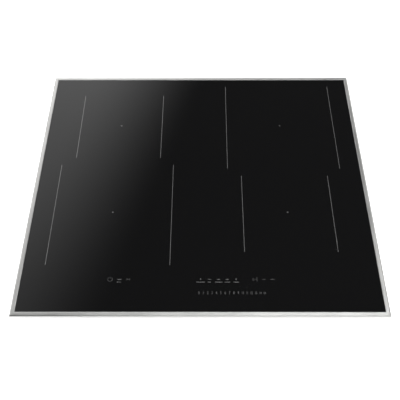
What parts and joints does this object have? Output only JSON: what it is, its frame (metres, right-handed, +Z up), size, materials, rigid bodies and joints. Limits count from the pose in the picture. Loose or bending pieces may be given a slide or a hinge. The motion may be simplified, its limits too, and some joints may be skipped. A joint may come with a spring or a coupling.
{
  "type": "induction cooktop",
  "caption": "Built-in induction cooktop with a black glass top in a steel frame, touch controls at the front, and its coils, fans, electronics and worktop clamps inside.",
  "frame": {"origin": "middle of the lowest face of the tray, under the middle of the steel frame", "axes": "+X to the user's right along the front edge, +Y away from the user, +Z up"},
  "size_m": [0.606, 0.5264, 0.0593],
  "materials": {
    "frame_steel": "fine brushed along each rail",
    "top_glass": "polished black glass-ceramic, opaque",
    "bond_silicone": "matt black silicone",
    "seal_foam": "matt closed-cell foam",
    "tray_steel": "zinc-coated sheet steel",
    "mica": "matt flecked mica sheet",
    "litz_copper": "lacquered stranded copper",
    "coil_plastic": "matt black plastic",
    "sensor_silicone": "matt off-white silicone",
    "bridge_aluminium": "mill-finish sheet",
    "fan_plastic": "matt black plastic",
    "rotor_plastic": "matt dark plastic",
    "circuit_board": "green solder mask",
    "sink_aluminium": "extruded, satin",
    "capacitor_plastic": "blue moulded case",
    "choke_winding": "enamelled copper wire",
    "carrier_plastic": "matt light grey plastic",
    "light_guide": "frosted white",
    "cover_plastic": "matt black plastic",
    "terminal_plastic": "matt cream plastic",
    "plated_steel": "zinc plated",
    "grommet_rubber": "matt black rubber"
  },
  "bodies": {
    "housing": {"frame_front": "frame_steel", "frame_back": "frame_steel", "frame_left": "frame_steel", "frame_right": "frame_steel", "glass_top": "top_glass", "glass_bond": "bond_silicone", "worktop_seal": "seal_foam", "bottom_tray": "tray_steel", "mica_sheet_back_left": "mica", "coil_winding_back_left": "litz_copper", "coil_carrier_back_left": "coil_plastic", "temperature_sensor_back_left": "sensor_silicone", "mica_sheet_back_right": "mica", "coil_winding_back_right": "litz_copper", "coil_carrier_back_right": "coil_plastic", "temperature_sensor_back_right": "sensor_silicone", "mica_sheet_front_left": "mica", "coil_winding_front_left": "litz_copper", "coil_carrier_front_left": "coil_plastic", "temperature_sensor_front_left": "sensor_silicone", "mica_sheet_front_right": "mica", "coil_winding_front_right": "litz_copper", "coil_carrier_front_right": "coil_plastic", "temperature_sensor_front_right": "sensor_silicone", "coil_bridge_left": "bridge_aluminium", "board_carrier_left": "carrier_plastic", "power_board_left": "circuit_board", "heat_sink_left": "sink_aluminium", "fan_housing_left": "fan_plastic", "power_capacitor_left": "capacitor_plastic", "power_choke_left": "choke_winding", "coil_bridge_right": "bridge_aluminium", "board_carrier_right": "carrier_plastic", "power_board_right": "circuit_board", "heat_sink_right": "sink_aluminium", "fan_housing_right": "fan_plastic", "power_capacitor_right": "capacitor_plastic", "power_choke_right": "choke_winding", "filter_board": "circuit_board", "filter_choke": "choke_winding", "filter_capacitor": "capacitor_plastic", "control_carrier": "carrier_plastic", "control_board": "circuit_board", "slider_light_guide": "light_guide", "terminal_box": "carrier_plastic", "terminal_block": "terminal_plastic", "terminal_cover_pin": "plated_steel", "cord_grip": "plated_steel", "cable_grommet": "grommet_rubber", "clamp_screw_back_left": "plated_steel", "clamp_screw_back_right": "plated_steel", "clamp_screw_front_left": "plated_steel", "clamp_screw_front_right": "plated_steel"},
    "fan_rotor_left": {"fan_rotor_left": "rotor_plastic"},
    "fan_rotor_right": {"fan_rotor_right": "rotor_plastic"},
    "terminal_cover": {"terminal_cover": "cover_plastic"},
    "worktop_clamp_back_left": {"worktop_clamp_back_left": "plated_steel"},
    "worktop_clamp_back_right": {"worktop_clamp_back_right": "plated_steel"},
    "worktop_clamp_front_left": {"worktop_clamp_front_left": "plated_steel"},
    "worktop_clamp_front_right": {"worktop_clamp_front_right": "plated_steel"}
  },
  "joints": [
    {"name": "fan_spin_left", "type": "hinge", "parent": "housing", "child": "fan_rotor_left", "pos_m": [-0.155, 0.15, 0.02], "axis": [0, 0, 1], "continuous": true},
    {"name": "fan_spin_right", "type": "hinge", "parent": "housing", "child": "fan_rotor_right", "pos_m": [0.155, 0.15, 0.02], "axis": [0, 0, 1], "continuous": true},
    {"name": "terminal_cover_hinge", "type": "hinge", "parent": "housing", "child": "terminal_cover", "pos_m": [0, 0.187, 0.0028], "axis": [-1, 0, 0], "range_deg": [0, 90]},
    {"name": "clamp_swing_back_left", "type": "hinge", "parent": "housing", "child": "worktop_clamp_back_left", "pos_m": [-0.265, 0.165, 0.004], "axis": [0, 0, -1], "range_deg": [0, 90]},
    {"name": "clamp_swing_back_right", "type": "hinge", "parent": "housing", "child": "worktop_clamp_back_right", "pos_m": [0.265, 0.165, 0.004], "axis": [0, 0, 1], "range_deg": [0, 90]},
    {"name": "clamp_swing_front_left", "type": "hinge", "parent": "housing", "child": "worktop_clamp_front_left", "pos_m": [-0.265, -0.165, 0.004], "axis": [0, 0, 1], "range_deg": [0, 90]},
    {"name": "clamp_swing_front_right", "type": "hinge", "parent": "housing", "child": "worktop_clamp_front_right", "pos_m": [0.265, -0.165, 0.004], "axis": [0, 0, -1], "range_deg": [0, 90]}
  ]
}
